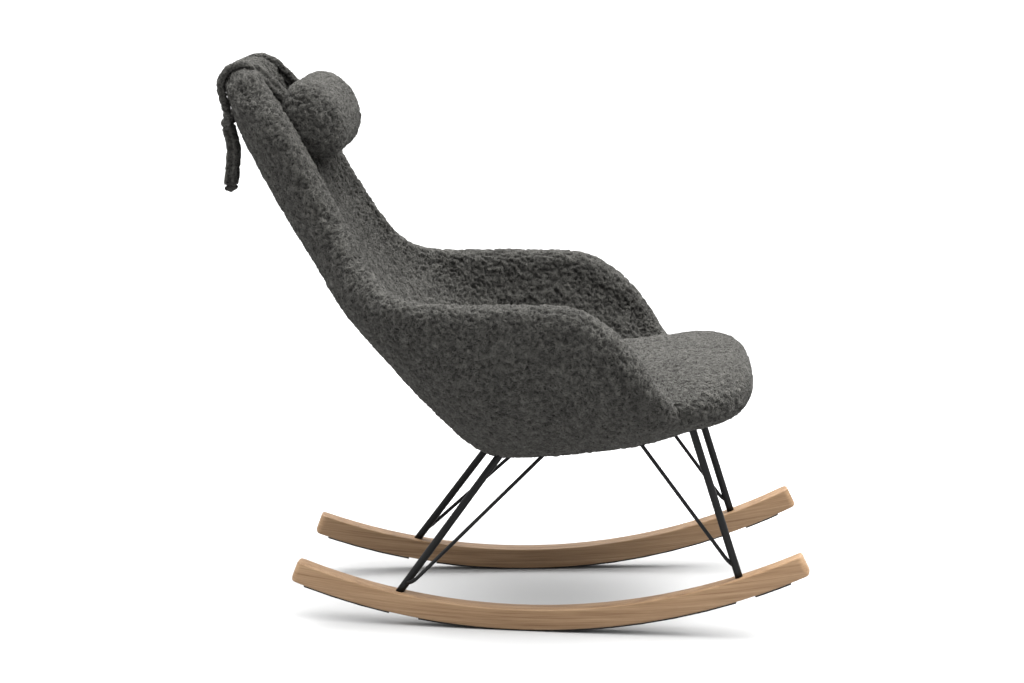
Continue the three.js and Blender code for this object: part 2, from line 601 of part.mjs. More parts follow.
function buildTie(name, pillowSpace, shellSpaceSolid) {
  const x = SIDES[name] * TIE.x;
  const front = [overTop(x, TIE_ARC.split), [x, 452, 992], [x, 434, 974], [x, 417, 956], [x, 400, 938]];
  const frontTie = cutBy(tieRun(front, 8), [pillowSpace, shellSpaceSolid]);
  add(`tie_front_${name}`, toGeometry(largest(frontTie)), boucle());

  const knotSpace = blob(KNOT.centre, KNOT.radii.map((r) => r + GAP));
  const start = TIE_ARC.split + GAP / TIE_ARC.radius;
  const arc = even(start, Math.PI / 2, 4).map((angle) => overTop(x, angle));
  const down = [[0.97, 532, 958], [0.82, 533, 935], [0.5, 536, 915], [0.2, 538, 904], [0.04, 538, 902]];
  const backLine = [...arc, ...down.map(([share, y, z]) => [share * x, y, z])];
  const backTie = cutBy(tieRun(backLine, 18), [knotSpace, shellSpaceSolid]);
  add(`tie_back_${name}`, toGeometry(largest(backTie)), boucle());

  const tail = TAILS[name];
  const tailLine = TAIL_LINE.map(([out, back, z]) => [tail.x + Math.sign(tail.x) * out, tail.y + back, z]);
  const [endX, endY] = tailLine[tailLine.length - 1];
  const end = [endX, endY, TAIL_END_Z];
  const endSpace = blob(end, TAIL_END.map((r) => r + GAP));
  add(`tie_tail_${name}`, toGeometry(largest(cutBy(tieRun(tailLine, 8, true), [knotSpace, endSpace]))), boucle());
  add(`tie_end_${name}`, toGeometry(blob(end, TAIL_END)), boucle());
}

// ---- assembly ----
const cuts = { outer: [], core: [], rocker: { left: [], right: [] } };

for (const end of Object.keys(CORNERS)) {
  for (const sideName of Object.keys(SIDES)) buildCorner(end, sideName, cuts);
}

for (const [name, side] of Object.entries(SIDES)) {
  const frame = rockerFrame(side);
  chair.add(frame);
  const blank = solid(toGeometry(rockerBlank()).applyMatrix4(frame.matrixWorld));
  const drilled = toGeometry(cutBy(blank, cuts.rocker[name]));
  add(`rocker_${name}`, drilled.applyMatrix4(frame.matrixWorld.clone().invert()), oak(), frame);
  for (const [place, span] of Object.entries(FELT_STRIPS)) {
    add(`felt_${place}_${name}`, feltStrip(span), felt(), frame);
  }
}

add('shell_core', toGeometry(cutBy(solid(coreLayer), cuts.core)), plywood());
add('outer_upholstery', toGeometry(cutBy(solid(outerLayer), cuts.outer)), boucle());
add('inner_upholstery', innerLayer, boucle());
add('seat_cushion', seatCushion(), boucle());

const shellSpaceSolid = solid(shellSpace);
add('neck_pillow', toGeometry(largest(solid(pillowForm()).subtract(shellSpaceSolid))), boucle());
add('tie_knot', toGeometry(blob(KNOT.centre, KNOT.radii)), boucle());
for (const name of Object.keys(SIDES)) buildTie(name, solid(pillowForm(GAP)), shellSpaceSolid);

chair.position.y = -ORIGIN_Y;

export default chair;
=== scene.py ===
"""The looks of the rocking chair: bouclé upholstery, neck pillow on its ties, oiled oak rockers,
black steel legs and felt strips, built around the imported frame. Metres, +Z up, the chair faces -Y.
"""

import math

import bmesh
import bpy
import numpy as np
from mathutils import Matrix, Vector
from mathutils.bvhtree import BVHTree


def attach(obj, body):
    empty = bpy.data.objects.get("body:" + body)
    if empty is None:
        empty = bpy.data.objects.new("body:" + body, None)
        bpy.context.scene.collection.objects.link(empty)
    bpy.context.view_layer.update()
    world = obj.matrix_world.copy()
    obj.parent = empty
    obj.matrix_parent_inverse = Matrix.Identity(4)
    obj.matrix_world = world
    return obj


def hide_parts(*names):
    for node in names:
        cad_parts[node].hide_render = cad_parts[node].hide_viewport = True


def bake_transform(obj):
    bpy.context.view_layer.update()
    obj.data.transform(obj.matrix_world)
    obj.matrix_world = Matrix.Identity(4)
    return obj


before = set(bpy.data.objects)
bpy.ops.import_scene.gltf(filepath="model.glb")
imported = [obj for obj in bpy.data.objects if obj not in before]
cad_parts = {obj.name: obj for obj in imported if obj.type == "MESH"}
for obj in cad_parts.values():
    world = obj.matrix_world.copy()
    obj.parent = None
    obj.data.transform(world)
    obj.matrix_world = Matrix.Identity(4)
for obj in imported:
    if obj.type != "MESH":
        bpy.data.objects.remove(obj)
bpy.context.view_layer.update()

MM = 0.001
ORIGIN_FRONT = 0.75  # the frame's origin lies this many millimetres in front of the drawing's own
SIDES = {"left": 1, "right": -1}


def drawn(x, y, z):
    """A point of the drawing, in millimetres, as a point in the frame."""
    return Vector((x * MM, (y + ORIGIN_FRONT) * MM, z * MM))


# ---- camera, light and floor ----
CAMERA_PLACE = (-4.5801, -0.23225, 1.35571)
CAMERA_DOWN = math.radians(10.6495)
CAMERA_TURN = math.radians(3.0536)
CAMERA_LENS = 87.89


CAMERA_REACH = 200

LIGHT_TARGET = Vector((0, 0, 0.5))
LIGHT_SIZE = 2.2
LIGHTS = {"key_light": ((-0.3, -2.0, 3.3), 150), "back_light": ((1.2, 2.2, 3.2), 50)}

# brightness of the sky at heights (the sine of the elevation) from the horizon to overhead
SKY = [(0.0, 1.0), (0.14, 1.0), (0.26, 0.35), (0.6, 1.2), (0.85, 7.4), (1.0, 11.4)]
SKY_PEAK = SKY[-1][1]
FLOOR_TONE = 0.36  # a mid grey, which the strong sky overhead lights to white
FLOOR_REACH = 60


def stand(name, data, place, ahead):
    """Adds a camera or a lamp at a place, looking along a direction."""
    item = bpy.data.objects.new(name, data)
    bpy.context.scene.collection.objects.link(item)
    turn = ahead.to_track_quat("-Z", "Y").to_matrix()
    item.matrix_world = Matrix.Translation(place) @ turn.to_4x4()
    return item


def fill_ramp(node, stops):
    """Gives a colour ramp its stops, each a position and a colour."""
    elements = node.color_ramp.elements
    while len(elements) < len(stops):
        elements.new(0.5)
    for element, (at, colour) in zip(elements, stops):
        element.position = at
        element.color = (*colour, 1)


def make_camera():
    data = bpy.data.cameras.new("camera")
    data.lens = CAMERA_LENS
    data.clip_end = CAMERA_REACH
    level = math.cos(CAMERA_DOWN)
    ahead = Vector((level * math.cos(CAMERA_TURN), level * math.sin(CAMERA_TURN),
                    -math.sin(CAMERA_DOWN)))
    bpy.context.scene.camera = stand("camera", data, CAMERA_PLACE, ahead)


def make_lights():
    for name, (place, power) in LIGHTS.items():
        data = bpy.data.lights.new(name, "AREA")
        data.shape = "DISK"
        data.size = LIGHT_SIZE
        data.energy = power
        stand(name, data, place, LIGHT_TARGET - Vector(place))


def make_sky():
    """White all round, with the softest and strongest light straight overhead."""
    world = bpy.data.worlds.new("studio")
    world.use_nodes = True
    tree = world.node_tree
    direction = tree.nodes.new("ShaderNodeTexCoord").outputs["Generated"]
    split = tree.nodes.new("ShaderNodeSeparateXYZ")
    ramp = tree.nodes.new("ShaderNodeValToRGB")
    tree.links.new(direction, split.inputs[0])
    tree.links.new(split.outputs["Z"], ramp.inputs["Fac"])
    fill_ramp(ramp, [(height, [brightness / SKY_PEAK] * 3) for height, brightness in SKY])
    background = tree.nodes["Background"]
    tree.links.new(ramp.outputs["Color"], background.inputs["Color"])
    background.inputs["Strength"].default_value = SKY_PEAK
    bpy.context.scene.world = world
    bpy.context.scene.view_settings.view_transform = "Standard"


def make_floor():
    data = bpy.data.meshes.new("floor")
    corners = ((-1, -1), (1, -1), (1, 1), (-1, 1))
    data.from_pydata([(FLOOR_REACH * x, FLOOR_REACH * y, 0) for x, y in corners], [], [(0, 1, 2, 3)])
    floor = bpy.data.objects.new("floor", data)
    bpy.context.scene.collection.objects.link(floor)
    pale = bpy.data.materials.new("floor")
    pale.use_nodes = True
    surface = pale.node_tree.nodes["Principled BSDF"]
    surface.inputs["Base Color"].default_value = (FLOOR_TONE, FLOOR_TONE, FLOOR_TONE, 1)
    surface.inputs["Roughness"].default_value = 0.9
    surface.inputs["Specular IOR Level"].default_value = 0.0
    data.materials.append(pale)


make_camera()
make_lights()
make_sky()
make_floor()


# ---- node helpers ----
NOISE_LOW, NOISE_HIGH = 0.3, 0.7  # most of a noise texture's values lie between these


class Recipe:
    """A material's node tree, built by short calls."""

    def __init__(self, name):
        self.material = bpy.data.materials.new(name)
        self.material.use_nodes = True
        self.tree = self.material.node_tree
        self.surface = self.tree.nodes["Principled BSDF"]

    def set(self, **values):
        for name, value in values.items():
            self.surface.inputs[name.replace("_", " ")].default_value = value

    def node(self, kind, settings=(), **inputs):
        made = self.tree.nodes.new(kind)
        for name, value in dict(settings).items():
            setattr(made, name, value)
        for name, value in inputs.items():
            self.feed(made.inputs[name.replace("_", " ")], value)
        return made

    def feed(self, socket, value):
        if isinstance(value, bpy.types.NodeSocket):
            self.tree.links.new(value, socket)
        else:
            socket.default_value = value

    def math(self, operation, a, b=0.0):
        made = self.tree.nodes.new("ShaderNodeMath")
        made.operation = operation
        self.feed(made.inputs[0], a)
        self.feed(made.inputs[1], b)
        return made.outputs[0]

    def total(self, *terms):
        """The sum of values, each times its weight."""
        parts = [self.math("MULTIPLY", value, weight) for value, weight in terms]
        result = parts[0]
        for part in parts[1:]:
            result = self.math("ADD", result, part)
        return result

    def place(self):
        """The object's own coordinates."""
        return self.node("ShaderNodeTexCoord").outputs["Object"]

    def stretch(self, vector, scale):
        return self.node("ShaderNodeMapping", Vector=vector, Scale=scale).outputs["Vector"]

    def named(self, name, output="Fac"):
        return self.node("ShaderNodeAttribute", {"attribute_name": name}).outputs[output]

    def noise(self, vector, scale, detail=2.0, distortion=0.0):
        return self.node("ShaderNodeTexNoise", Vector=vector, Scale=scale, Detail=detail,
                         Distortion=distortion).outputs["Fac"]

    def ramp(self, value, stops):
        made = self.node("ShaderNodeValToRGB", Fac=value)
        fill_ramp(made, stops)
        return made.outputs["Color"]

    def span(self, value, low, high, to_low, to_high):
        made = self.node("ShaderNodeMapRange")
        for socket, amount in zip(made.inputs, (value, low, high, to_low, to_high)):
            self.feed(socket, amount)
        return made.outputs["Result"]

    def spread(self, value, to_low, to_high):
        """A noise's usual values, turned into values from one number to another."""
        return self.span(value, NOISE_LOW, NOISE_HIGH, to_low, to_high)

    def mix(self, share, a, b, kind="MIX"):
        made = self.tree.nodes.new("ShaderNodeMix")
        made.data_type = "RGBA"
        made.blend_type = kind
        self.feed(made.inputs[0], share)
        self.feed(made.inputs[6], a)
        self.feed(made.inputs[7], b)
        return made.outputs[2]

    def finish(self, colour, roughness, height, depth, strength):
        self.feed(self.surface.inputs["Base Color"], colour)
        self.feed(self.surface.inputs["Roughness"], roughness)
        bump = self.node("ShaderNodeBump", Height=height, Distance=depth, Strength=strength)
        self.feed(self.surface.inputs["Normal"], bump.outputs["Normal"])
        return self.material


# ---- materials ----
def strands(recipe, place, scale, sharpness):
    """Winding threads: 1 along the middle of each thread, falling to 0 beside it."""
    field = recipe.noise(place, scale, detail=0.6, distortion=1.3)
    aside = recipe.math("ABSOLUTE", recipe.math("SUBTRACT", field, 0.5))
    thread = recipe.math("SUBTRACT", 1.0, recipe.math("MULTIPLY", aside, sharpness))
    return recipe.math("MAXIMUM", thread, 0.0)


def boucle_material():
    """Looped yarn: winding threads a few millimetres across, with painted highlights on the loop tops
    and painted shade, near black, in the crevices between.
    """
    r = Recipe("boucle")
    r.set(Specular_IOR_Level=0.1, Sheen_Weight=0.12, Sheen_Roughness=0.5,
          Sheen_Tint=(0.8, 0.78, 0.74, 1))
    place = r.place()
    thick = strands(r, place, scale=150, sharpness=6.0)
    thin = strands(r, r.stretch(place, (1.1, 0.9, 1.3)), scale=215, sharpness=7.0)
    threads = r.math("MAXIMUM", thick, thin)
    fibres = r.noise(place, 800, distortion=1.5)
    height = r.total((threads, 0.8), (fibres, 0.2))
    # painted light and shade: the ramp paints highlights on the thread tops and shade in the crevices
    # between threads and in the low spots of loop_height
    tone = r.total((threads, 0.5), (r.named("loop_height"), 0.26), (fibres, 0.2))
    colour = r.ramp(tone, [(0.13, (0.0021, 0.0020, 0.0018)), (0.37, (0.0080, 0.0078, 0.0070)),
                           (0.62, (0.0258, 0.0252, 0.0228)), (0.86, (0.0740, 0.0725, 0.0657))])
    shade = r.spread(r.noise(place, 9), 0.96, 1.04)
    grey = r.node("ShaderNodeCombineColor", Red=shade, Green=shade, Blue=shade).outputs[0]
    colour = r.mix(1.0, colour, grey, "MULTIPLY")
    roughness = r.span(height, 0.1, 0.8, 1.0, 0.88)
    return r.finish(colour, roughness, height, depth=0.0030, strength=0.95)


def oak_material():
    """Oiled oak: growth rings and fine grain drawn out along the rocker, and short dark pores."""
    r = Recipe("rocker_wood")
    r.set(Specular_IOR_Level=0.25, Coat_Weight=0.03, Coat_Roughness=0.4)
    grain = r.named("grain", "Vector")
    drift = r.noise(r.stretch(grain, (2.2, 5, 9)), 1.0)
    rings = r.noise(r.stretch(grain, (2.8, 100, 240)), 1.0, detail=3.0, distortion=0.4)
    fine = r.noise(r.stretch(grain, (14, 420, 900)), 1.0)
    pores = r.noise(r.stretch(grain, (60, 900, 1500)), 1.0, detail=1.0)
    pores = r.span(pores, 0.60, 0.72, 0.0, 1.0)
    tone = r.total((rings, 0.44), (fine, 0.38), (drift, 0.18))
    colour = r.ramp(tone, [(0.34, (0.105, 0.056, 0.027)), (0.46, (0.175, 0.106, 0.0560)),
                           (0.56, (0.215, 0.137, 0.0770)), (0.70, (0.258, 0.172, 0.1020))])
    colour = r.mix(r.math("MULTIPLY", pores, 0.45), colour, (0.16, 0.09, 0.05, 1))
    height = r.total((rings, 0.4), (pores, -0.6))
    return r.finish(colour, r.spread(fine, 0.42, 0.58), height, depth=0.0004, strength=0.5)


def steel_material():
    """Satin black powder coat, slightly orange-peeled and rubbed."""
    r = Recipe("black_metal")
    r.set(Metallic=0.0, Specular_IOR_Level=0.17)
    place = r.place()
    peel = r.noise(place, 700)
    rubbed = r.noise(place, 22, detail=3.0)
    colour = r.ramp(rubbed, [(0.3, (0.0018, 0.0018, 0.0020)), (0.7, (0.0042, 0.0043, 0.0046))])
    return r.finish(colour, r.spread(rubbed, 0.40, 0.54), peel, depth=0.00025, strength=0.35)


def felt_material():
    """Dark brown pressed felt: matted fibres."""
    r = Recipe("felt")
    r.set(Specular_IOR_Level=0.1, Sheen_Weight=0.15, Sheen_Roughness=0.6)
    place = r.place()
    fibres = r.noise(place, 1100, detail=3.0, distortion=1.6)
    mats = r.noise(place, 120, detail=3.0)
    tone = r.total((fibres, 0.6), (mats, 0.4))
    colour = r.ramp(tone, [(0.32, (0.010, 0.009, 0.008)), (0.68, (0.045, 0.040, 0.036))])
    return r.finish(colour, r.spread(fibres, 0.9, 1.0), fibres, depth=0.0006, strength=0.7)


def zinc_material():
    """Zinc-plated steel, brushed and a little stained."""
    r = Recipe("zinc")
    r.set(Metallic=1.0)
    place = r.place()
    brushed = r.noise(r.stretch(place, (1, 1, 0.2)), 900)
    stains = r.noise(place, 60, detail=3.0)
    colour = r.ramp(stains, [(0.3, (0.36, 0.37, 0.38)), (0.7, (0.58, 0.59, 0.60))])
    return r.finish(colour, r.spread(brushed, 0.28, 0.46), brushed, depth=0.0002, strength=0.3)


def plywood_material():
    """Moulded plywood with a fine straight figure in two tones."""
    r = Recipe("plywood")
    r.set(Specular_IOR_Level=0.3)
    place = r.place()
    figure = r.noise(r.stretch(place, (160, 6, 14)), 1.0, detail=3.0, distortion=0.6)
    fine = r.noise(r.stretch(place, (900, 30, 60)), 1.0)
    tone = r.total((figure, 0.7), (fine, 0.3))
    colour = r.ramp(tone, [(0.35, (0.36, 0.22, 0.12)), (0.55, (0.52, 0.35, 0.21)),
                           (0.7, (0.60, 0.43, 0.28))])
    return r.finish(colour, r.spread(fine, 0.5, 0.65), figure, depth=0.0003, strength=0.4)


MATERIALS = {
    "boucle": boucle_material(),
    "rocker_wood": oak_material(),
    "black_metal": steel_material(),
    "felt": felt_material(),
    "zinc": zinc_material(),
    "plywood": plywood_material(),
}


# ---- mesh helpers ----
def new_piece(name, vertices, faces, slot):
    data = bpy.data.meshes.new(name)
    data.from_pydata([tuple(v) for v in vertices], [], faces)
    piece = bpy.data.objects.new(name, data)
    bpy.context.scene.collection.objects.link(piece)
    data.materials.append(MATERIALS[slot])
    return piece


def tube_faces(rings, sides):
    """Faces between rings of vertices that follow each other, all with the same number of sides."""
    faces = []
    for i in range(rings - 1):
        for j in range(sides):
            k = (j + 1) % sides
            faces.append((i * sides + j, i * sides + k, (i + 1) * sides + k, (i + 1) * sides + j))
    return faces


def tidy_mesh(piece, merge=1e-6):
    """Turns all faces outwards and shades smooth, after welding vertices closer than merge."""
    shape = bmesh.new()
    shape.from_mesh(piece.data)
    if merge:
        bmesh.ops.remove_doubles(shape, verts=shape.verts, dist=merge)
        bmesh.ops.dissolve_degenerate(shape, edges=shape.edges, dist=merge)
    bmesh.ops.recalc_face_normals(shape, faces=shape.faces)
    shape.to_mesh(piece.data)
    shape.free()
    piece.data.shade_smooth()


def apply_modifiers(piece):
    depsgraph = bpy.context.evaluated_depsgraph_get()
    made = bpy.data.meshes.new_from_object(piece.evaluated_get(depsgraph))
    piece.modifiers.clear()
    old = piece.data
    name = old.name
    piece.data = made
    bpy.data.meshes.remove(old)
    made.name = name
    made.shade_smooth()


def remesh(piece, voxel):
    change = piece.modifiers.new("remesh", "REMESH")
    change.mode = "VOXEL"
    change.voxel_size = voxel
    apply_modifiers(piece)


def subdivide(piece, levels):
    change = piece.modifiers.new("subdivision", "SUBSURF")
    change.levels = levels
    change.render_levels = levels
    apply_modifiers(piece)


def positions(piece):
    flat = np.empty(len(piece.data.vertices) * 3, np.float32)
    piece.data.vertices.foreach_get("co", flat)
    return flat.reshape(-1, 3).astype(float)


def set_positions(piece, points):
    piece.data.vertices.foreach_set("co", points.astype(np.float32).ravel())
    piece.data.update()


def normals(piece):
    flat = np.empty(len(piece.data.vertices) * 3, np.float32)
    piece.data.vertex_normals.foreach_get("vector", flat)
    return flat.reshape(-1, 3).astype(float)


RELAX_IN, RELAX_OUT = 0.5, -0.52  # shares of the way to the neighbours' middle, and back again


def relax(piece, rounds):
    """Evens out a surface without shrinking it: each smoothing step is followed by its opposite."""
    points = positions(piece)
    edges = np.empty(len(piece.data.edges) * 2, np.int32)
    piece.data.edges.foreach_get("vertices", edges)
    a, b = edges.reshape(-1, 2).T
    count = np.bincount(a, minlength=len(points)) + np.bincount(b, minlength=len(points))
    for step in range(rounds * 2):
        total = np.zeros_like(points)
        for axis in range(3):
            total[:, axis] = (np.bincount(a, points[b, axis], len(points))
                              + np.bincount(b, points[a, axis], len(points)))
        mean = total / np.maximum(count, 1)[:, None]
        factor = RELAX_IN if step % 2 == 0 else RELAX_OUT
        points = points + factor * (mean - points)
    set_positions(piece, points)


# ---- cloth ----
CLOTH_FRAMES = 20
CLOTH_PRESSURE = 4.0
CLOTH_MASS = 0.3
CLOTH_STIFFNESS = 20
CLOTH_BENDING = 2
CLOTH_QUALITY = 4
PIN_LEVELS = (0.25, 0.5, 0.75, 1.0)


def inflate(piece, cap, held=None):
    """Cloth simulation of the cover over its filling. No point moves further than cap, and
    `held` gives each point's share of pinning."""
    rest = positions(piece)
    if held is not None:
        group = piece.vertex_groups.new(name="held")
        for level in PIN_LEVELS:
            chosen = np.flatnonzero((held > level - PIN_LEVELS[0]) & (held <= level))
            group.add([int(i) for i in chosen], level, "REPLACE")
    cloth = piece.modifiers.new("cloth", "CLOTH")
    cloth.settings.use_pressure = True
    cloth.settings.uniform_pressure_force = CLOTH_PRESSURE
    cloth.settings.effector_weights.gravity = 0
    cloth.settings.mass = CLOTH_MASS
    cloth.settings.quality = CLOTH_QUALITY
    cloth.settings.tension_stiffness = CLOTH_STIFFNESS
    cloth.settings.compression_stiffness = CLOTH_STIFFNESS
    cloth.settings.bending_stiffness = CLOTH_BENDING
    if held is not None:
        cloth.settings.vertex_group_mass = "held"
    cloth.collision_settings.use_collision = False
    cloth.point_cache.frame_start = 1
    cloth.point_cache.frame_end = CLOTH_FRAMES
    scene = bpy.context.scene
    for step in range(1, CLOTH_FRAMES + 1):
        scene.frame_set(step)
    apply_modifiers(piece)
    scene.frame_set(1)
    move = positions(piece) - rest
    far = np.linalg.norm(move, axis=1)
    share = np.minimum(1.0, cap / np.maximum(far, 1e-9))
    set_positions(piece, rest + move * share[:, None])
    piece.vertex_groups.clear()


# ---- looped yarn ----
CURL = 0.0058  # width of one curl of yarn
CURL_WARP = 0.85  # how far the curls wind aside, in curls
CURL_SHARPNESS = 2.4
CURL_SHARE = 0.38
CLUMP = 0.0105  # width of a cluster of curls
CLUMP_SHARE = 0.16
WARP_SEEDS = (11, 12, 13)
CURL_SEED = 21
CLUMP_SEED = 31


def lattice_value(cell, seed):
    """A repeatable number from 0 to 1 for each lattice point, from an integer hash."""
    x, y, z = (cell[:, k].astype(np.uint32) for k in range(3))
    mixed = x * np.uint32(374761393) + y * np.uint32(668265263) + z * np.uint32(2147483647)
    mixed = mixed + np.uint32(seed * 974711)
    mixed = (mixed ^ (mixed >> np.uint32(13))) * np.uint32(1274126177)
    mixed = (mixed ^ (mixed >> np.uint32(16))) * np.uint32(2246822519)
    return (mixed ^ (mixed >> np.uint32(15))).astype(np.float64) / (2 ** 32 - 1)


def smooth_noise(points, seed):
    """Smooth noise from -1 to 1 with features one unit across."""
    cell = np.floor(points).astype(np.int64)
    part = points - cell
    ease = part * part * part * (part * (part * 6 - 15) + 10)
    total = np.zeros(len(points))
    for corner in range(8):
        step = np.array([corner & 1, (corner >> 1) & 1, (corner >> 2) & 1])
        weight = np.prod(np.where(step, ease, 1 - ease), axis=1)
        total += weight * lattice_value(cell + step, seed)
    return total * 2 - 1


def loop_field(points):
    """How far the yarn stands up at each point, from 0 to 1."""
    warp = np.stack([smooth_noise(points / (CURL * 1.5), seed) for seed in WARP_SEEDS], axis=1)
    curled = points / CURL + warp * CURL_WARP
    ridges = 1 - np.abs(smooth_noise(curled, CURL_SEED)) * CURL_SHARPNESS
    clumps = smooth_noise(points / CLUMP, CLUMP_SEED)
    return np.clip(0.5 + CURL_SHARE * ridges + CLUMP_SHARE * clumps, 0, 1)


def raise_loops(piece, height):
    """Lifts the surface into yarn loops, half of the height in and half out."""
    points = positions(piece)
    field = loop_field(points)
    set_positions(piece, points + normals(piece) * ((field - 0.5) * height)[:, None])
    # the bouclé colour reads this field and paints shade into its low spots
    attribute = piece.data.attributes.new("loop_height", "FLOAT", "POINT")
    attribute.data.foreach_set("value", field.astype(np.float32))


# ---- curves ----
def between(a, b, c, d, spans, t):
    """A point from b to c on a smooth curve through four points, given the roots of the distances
    between them."""
    s0, s1, s2 = spans
    leave = ((b - a) / s0 - (c - a) / (s0 + s1) + (c - b) / s1) * s1
    reach = ((c - b) / s1 - (d - b) / (s1 + s2) + (d - c) / s2) * s1
    return (b * (2 * t ** 3 - 3 * t ** 2 + 1) + leave * (t ** 3 - 2 * t ** 2 + t)
            + c * (3 * t ** 2 - 2 * t ** 3) + reach * (t ** 3 - t ** 2))


def distances_along(line):
    """Each point's distance from the first, measured along the line."""
    return np.concatenate([[0], np.cumsum(np.linalg.norm(np.diff(line, axis=0), axis=1))])


# ---- ties over the top of the back ----
TIE_X = 100
TIE_WIDTH = 23
TIE_THICK = 15
TIE_SIDES = 28
TIE_EDGE_POWER = 0.8  # rounds the section's two edges
TIE_GROOVE_DEPTH = 0.62  # share of the thickness
TIE_GROOVE_WIDTH = 0.14  # share of the width
TIE_STEP = 0.0019
TIE_LOOPS = 0.0036
CURVE_STEPS = 24

# the ties bend over the top edge of the back in an arc
ARC_Y = 493
ARC_Z = 975
ARC_RADIUS = 39

# a tail's points: how far out from its own x, how far back from its own y, and the height
TAIL_LINE = [(0, 0, 889), (0, -2, 880), (2, -7, 860), (4.8, -7, 835), (5.6, -5, 810), (5.6, -2, 785)]
TAILS = {"left": (-5, 535), "right": (5, 535)}
TAIL_END_Z = 779
TAIL_TOP = 0.892  # metres: below this the tails hang on edge
PILLOW_RUN = 0.022  # metres in front of the arc's centre, where the ties go down to the pillow

KNOT_CENTRE = (0, 538, 899)
KNOT_RADII = (17, 12, 14)
TAIL_END_RADII = (5.2, 12, 8)
KNOT_TURNS = ((0.5, 0.0, 1.0), (-0.75, 1.3, 0.9), (1.35, 0.4, 0.8))  # tilt, spin and size
KNOT_RING, KNOT_SIDES = 28, 12
KNOT_REACH, KNOT_PLUMP = 0.52, 0.42  # radius of a turn, and of the band along it


def over_top(x, degrees):
    angle = math.radians(degrees)
    return (x, ARC_Y + ARC_RADIUS * math.sin(angle), ARC_Z + ARC_RADIUS * math.cos(angle))


def tie_route(side):
    """The tie's points from the pillow over the back, into the knot and down its tail."""
    sign = SIDES[side]
    x = sign * TIE_X
    tail_x, tail_y = TAILS[side]
    front = [(x, 400, 938), (x, 417, 956), (x, 434, 974), (x, 452, 992)]
    arc = [over_top(x, degrees) for degrees in range(-35, 91, 25)]
    down = [(share * x, y, z) for share, y, z in
            ((0.97, 529, 958), (0.82, 526, 935), (0.5, 529, 915), (0.2, 535, 904))]
    tail = [(tail_x + math.copysign(out, tail_x), tail_y + back, z) for out, back, z in TAIL_LINE]
    return [drawn(*p) for p in front + arc + down + tail]


def smooth_line(points, step):
    """Even points a step apart on a smooth curve through the given points."""
    knots = [points[0] * 2 - points[1], *points, points[-1] * 2 - points[-2]]
    dense = []
    for a, b, c, d in zip(knots, knots[1:], knots[2:], knots[3:]):
        spans = [max((q - p).length, 1e-9) ** 0.5 for p, q in ((a, b), (b, c), (c, d))]
        dense += [between(a, b, c, d, spans, k / CURVE_STEPS) for k in range(CURVE_STEPS)]
    table = np.array([tuple(p) for p in [*dense, points[-1]]])
    along = distances_along(table)
    wanted = np.linspace(0, along[-1], max(2, round(along[-1] / step)) + 1)
    return np.stack([np.interp(wanted, along, table[:, k]) for k in range(3)], axis=1)


def tie_facing(point):
    """Which way the flat side of the tie looks at a point of its route: it lies flat over the top
    edge, turns half sideways down to the pillow, and the tails hang on edge."""
    centre = drawn(0, ARC_Y, ARC_Z)
    outwards = math.copysign(1, point[0])
    if point[1] > centre.y and point[2] < TAIL_TOP:
        return Vector((outwards, 0, 0))
    if point[1] > centre.y and point[2] < centre.z:
        return Vector((0, 1, 0))
    if point[1] < centre.y - PILLOW_RUN:
        return Vector((outwards * 0.8, -0.42, 0.43))
    return Vector((0, point[1] - centre.y, point[2] - centre.z)).normalized()


FACING_ROUNDS = 12


def sweep(line, facing, profile):
    """Vertices and faces of a closed band with the given section along a line."""
    vertices = []
    smooth_facing = np.array([tuple(facing(p)) for p in line])
    for _ in range(FACING_ROUNDS):
        padded = np.vstack([smooth_facing[:1], smooth_facing, smooth_facing[-1:]])
        smooth_facing = (padded[:-2] + padded[1:-1] + padded[2:]) / 3
    for i, point in enumerate(line):
        ahead = Vector(line[min(i + 1, len(line) - 1)] - line[max(i - 1, 0)]).normalized()
        out = Vector(smooth_facing[i])
        out = (out - ahead * out.dot(ahead)).normalized()
        across = ahead.cross(out)
        for u, v in profile:
            vertices.append(Vector(point) + across * u + out * v)
    sides = len(profile)
    faces = tube_faces(len(line), sides)
    faces.append(tuple(range(sides))[::-1])
    faces.append(tuple(range((len(line) - 1) * sides, len(line) * sides)))
    return vertices, faces


def signed_power(value, power):
    return math.copysign(abs(value) ** power, value)


def band_profile():
    """The tie's section: a flattened tube of fabric with a groove down the middle of each face."""
    points = []
    for k in range(TIE_SIDES):
        angle = 2 * math.pi * k / TIE_SIDES
        u = signed_power(math.cos(angle), TIE_EDGE_POWER) * TIE_WIDTH / 2
        groove = 1 - TIE_GROOVE_DEPTH * math.exp(-((u / (TIE_WIDTH * TIE_GROOVE_WIDTH)) ** 2))
        points.append((u * MM, math.sin(angle) * TIE_THICK / 2 * groove * MM))
    return points


